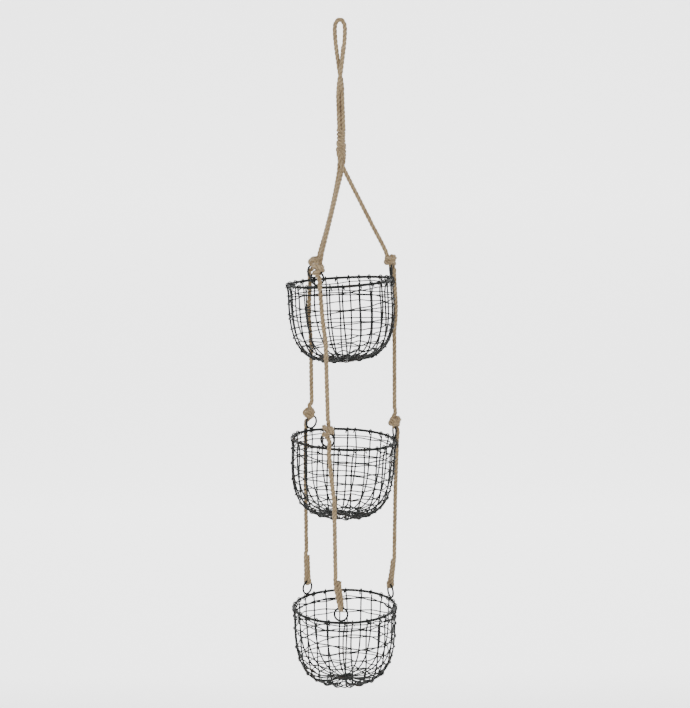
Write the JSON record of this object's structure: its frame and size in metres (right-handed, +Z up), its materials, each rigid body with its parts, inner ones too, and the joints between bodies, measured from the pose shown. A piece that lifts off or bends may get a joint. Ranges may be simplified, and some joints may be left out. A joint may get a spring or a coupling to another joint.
{
  "type": "hanging wire basket",
  "caption": "Tiered hanging basket: equal round wire bowls one under another on jute ropes that join in a plaited neck with a hanging loop.",
  "frame": {"origin": "where the hook bears, at the top of the inside of the hanging loop", "axes": "+Z up along the hanger, -Y the front, +X to the right seen from the front"},
  "size_m": [0.2145, 0.2085, 1.272],
  "materials": {
    "steel_wire": "satin, near-black",
    "jute_rope": "natural three-strand jute, matte and fuzzy",
    "jute_whipping": "natural jute, tightly wound, matte"
  },
  "bodies": {
    "hanging_loop": {"hanging_loop": "jute_rope"},
    "loop_throat": {"loop_throat": "jute_rope"},
    "neck": {"plaited_neck": "jute_rope"},
    "top_tier": {"neck_whipping": "jute_whipping", "front_bridle_rope": "jute_rope", "right_bridle_rope": "jute_rope", "left_bridle_rope": "jute_rope", "top_front_knot": "jute_rope", "top_right_knot": "jute_rope", "top_left_knot": "jute_rope", "top_front_rope_run": "jute_rope", "top_right_rope_run": "jute_rope", "top_left_rope_run": "jute_rope", "top_rim": "steel_wire", "top_rib_cage": "steel_wire", "top_weave_wire": "steel_wire", "top_front_ring": "steel_wire", "top_right_ring": "steel_wire", "top_left_ring": "steel_wire"},
    "middle_front_bend": {"middle_front_rope_bend": "jute_rope"},
    "middle_front_drop": {"middle_front_drop_rope": "jute_rope"},
    "middle_right_bend": {"middle_right_rope_bend": "jute_rope"},
    "middle_right_drop": {"middle_right_drop_rope": "jute_rope"},
    "middle_left_bend": {"middle_left_rope_bend": "jute_rope"},
    "middle_left_drop": {"middle_left_drop_rope": "jute_rope"},
    "middle_lower_bend": {"middle_front_lower_bend": "jute_rope"},
    "middle_tier": {"middle_front_knot": "jute_rope", "middle_right_knot": "jute_rope", "middle_left_knot": "jute_rope", "middle_front_rope_run": "jute_rope", "middle_right_rope_run": "jute_rope", "middle_left_rope_run": "jute_rope", "middle_rim": "steel_wire", "middle_rib_cage": "steel_wire", "middle_weave_wire": "steel_wire", "middle_front_ring": "steel_wire", "middle_right_ring": "steel_wire", "middle_left_ring": "steel_wire"},
    "bottom_front_bend": {"bottom_front_rope_bend": "jute_rope"},
    "bottom_front_drop": {"bottom_front_drop_rope": "jute_rope"},
    "bottom_right_bend": {"bottom_right_rope_bend": "jute_rope"},
    "bottom_right_drop": {"bottom_right_drop_rope": "jute_rope"},
    "bottom_left_bend": {"bottom_left_rope_bend": "jute_rope"},
    "bottom_left_drop": {"bottom_left_drop_rope": "jute_rope"},
    "bottom_lower_bend": {"bottom_front_lower_bend": "jute_rope"},
    "bottom_tier": {"bottom_front_rope_end": "jute_rope", "bottom_right_rope_end": "jute_rope", "bottom_left_rope_end": "jute_rope", "bottom_rim": "steel_wire", "bottom_rib_cage": "steel_wire", "bottom_weave_wire": "steel_wire", "bottom_front_ring": "steel_wire", "bottom_right_ring": "steel_wire", "bottom_left_ring": "steel_wire"}
  },
  "joints": [
    {"name": "swing_front_back", "type": "hinge", "parent": "hanging_loop", "child": "loop_throat", "pos_m": [0, 0, -0.0863], "axis": [1, 0, 0], "range_deg": [-20, 20]},
    {"name": "swing_sideways", "type": "hinge", "parent": "loop_throat", "child": "neck", "pos_m": [0, 0, -0.0863], "axis": [0, 1, 0], "range_deg": [-20, 20]},
    {"name": "neck_twist", "type": "hinge", "parent": "neck", "child": "top_tier", "pos_m": [0, 0, -0.1917], "axis": [0, 0, 1], "range_deg": [-90, 90]},
    {"name": "middle_sway_sideways", "type": "hinge", "parent": "top_tier", "child": "middle_front_bend", "pos_m": [-0.0281, -0.0934, -0.59], "axis": [0, 1, 0], "range_deg": [-12, 12]},
    {"name": "middle_sway_front_back", "type": "hinge", "parent": "middle_front_bend", "child": "middle_front_drop", "pos_m": [-0.0281, -0.0934, -0.59], "axis": [1, 0, 0], "range_deg": [-12, 12]},
    {"name": "middle_right_sway_sideways", "type": "hinge", "parent": "top_tier", "child": "middle_right_bend", "pos_m": [0.0995, 0.0196, -0.59], "axis": [0, 1, 0], "range_deg": [-12, 12]},
    {"name": "middle_right_sway_front_back", "type": "hinge", "parent": "middle_right_bend", "child": "middle_right_drop", "pos_m": [0.0995, 0.0196, -0.59], "axis": [1, 0, 0], "range_deg": [-12, 12]},
    {"name": "middle_left_sway_sideways", "type": "hinge", "parent": "top_tier", "child": "middle_left_bend", "pos_m": [-0.0621, 0.0738, -0.59], "axis": [0, 1, 0], "range_deg": [-12, 12]},
    {"name": "middle_left_sway_front_back", "type": "hinge", "parent": "middle_left_bend", "child": "middle_left_drop", "pos_m": [-0.0621, 0.0738, -0.59], "axis": [1, 0, 0], "range_deg": [-12, 12]},
    {"name": "middle_level_front_back", "type": "hinge", "parent": "middle_front_drop", "child": "middle_lower_bend", "pos_m": [-0.0281, -0.0934, -0.724], "axis": [1, 0, 0], "range_deg": [-12, 12]},
    {"name": "middle_level_sideways", "type": "hinge", "parent": "middle_lower_bend", "child": "middle_tier", "pos_m": [-0.0281, -0.0934, -0.724], "axis": [0, 1, 0], "range_deg": [-12, 12]},
    {"name": "bottom_sway_sideways", "type": "hinge", "parent": "middle_tier", "child": "bottom_front_bend", "pos_m": [-0.0166, -0.0983, -0.893], "axis": [0, 1, 0], "range_deg": [-12, 12]},
    {"name": "bottom_sway_front_back", "type": "hinge", "parent": "bottom_front_bend", "child": "bottom_front_drop", "pos_m": [-0.0166, -0.0983, -0.893], "axis": [1, 0, 0], "range_deg": [-12, 12]},
    {"name": "bottom_right_sway_sideways", "type": "hinge", "parent": "middle_tier", "child": "bottom_right_bend", "pos_m": [0.0985, 0.03, -0.893], "axis": [0, 1, 0], "range_deg": [-12, 12]},
    {"name": "bottom_right_sway_front_back", "type": "hinge", "parent": "bottom_right_bend", "child": "bottom_right_drop", "pos_m": [0.0985, 0.03, -0.893], "axis": [1, 0, 0], "range_deg": [-12, 12]},
    {"name": "bottom_left_sway_sideways", "type": "hinge", "parent": "middle_tier", "child": "bottom_left_bend", "pos_m": [-0.076, 0.07, -0.893], "axis": [0, 1, 0], "range_deg": [-12, 12]},
    {"name": "bottom_left_sway_front_back", "type": "hinge", "parent": "bottom_left_bend", "child": "bottom_left_drop", "pos_m": [-0.076, 0.07, -0.893], "axis": [1, 0, 0], "range_deg": [-12, 12]},
    {"name": "bottom_level_front_back", "type": "hinge", "parent": "bottom_front_drop", "child": "bottom_lower_bend", "pos_m": [-0.0166, -0.0983, -1.023], "axis": [1, 0, 0], "range_deg": [-12, 12]},
    {"name": "bottom_level_sideways", "type": "hinge", "parent": "bottom_lower_bend", "child": "bottom_tier", "pos_m": [-0.0166, -0.0983, -1.023], "axis": [0, 1, 0], "range_deg": [-12, 12]}
  ],
  "couplings": [
    {"joint": "middle_right_sway_sideways", "follows": "middle_sway_sideways", "ratio": 1},
    {"joint": "middle_right_sway_front_back", "follows": "middle_sway_front_back", "ratio": 1},
    {"joint": "middle_left_sway_sideways", "follows": "middle_sway_sideways", "ratio": 1},
    {"joint": "middle_left_sway_front_back", "follows": "middle_sway_front_back", "ratio": 1},
    {"joint": "middle_level_front_back", "follows": "middle_sway_front_back", "ratio": -1},
    {"joint": "middle_level_sideways", "follows": "middle_sway_sideways", "ratio": -1},
    {"joint": "bottom_right_sway_sideways", "follows": "bottom_sway_sideways", "ratio": 1},
    {"joint": "bottom_right_sway_front_back", "follows": "bottom_sway_front_back", "ratio": 1},
    {"joint": "bottom_left_sway_sideways", "follows": "bottom_sway_sideways", "ratio": 1},
    {"joint": "bottom_left_sway_front_back", "follows": "bottom_sway_front_back", "ratio": 1},
    {"joint": "bottom_level_front_back", "follows": "bottom_sway_front_back", "ratio": -1},
    {"joint": "bottom_level_sideways", "follows": "bottom_sway_sideways", "ratio": -1}
  ]
}
